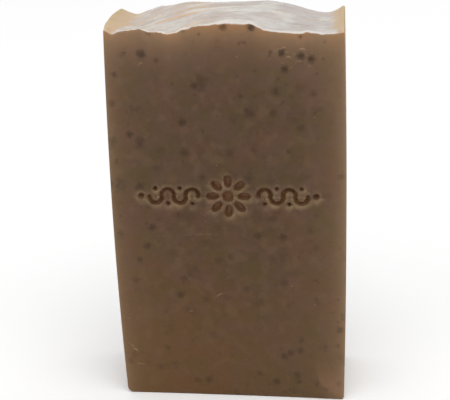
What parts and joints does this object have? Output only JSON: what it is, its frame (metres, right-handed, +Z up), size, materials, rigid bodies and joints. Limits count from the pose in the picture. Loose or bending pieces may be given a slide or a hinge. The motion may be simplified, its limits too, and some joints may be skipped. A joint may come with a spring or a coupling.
{
  "type": "bar of soap",
  "caption": "Upright rectangular bar of handmade soap with a heaped open top, a stamped rosette and wavy lines on its front face, and a worn lower corner.",
  "frame": {"origin": "middle of the bottom face, which the bar stands on", "axes": "+Z up towards the open top, +X across the bar's width, and the stamped front face looks towards -Y"},
  "size_m": [0.0576, 0.022, 0.0995],
  "materials": {
    "soap": "satin, slightly translucent brown soap with dark herb specks, and a pale dusty bloom on the open top"
  },
  "bodies": {
    "root": {"soap_bar": "soap"}
  },
  "joints": []
}
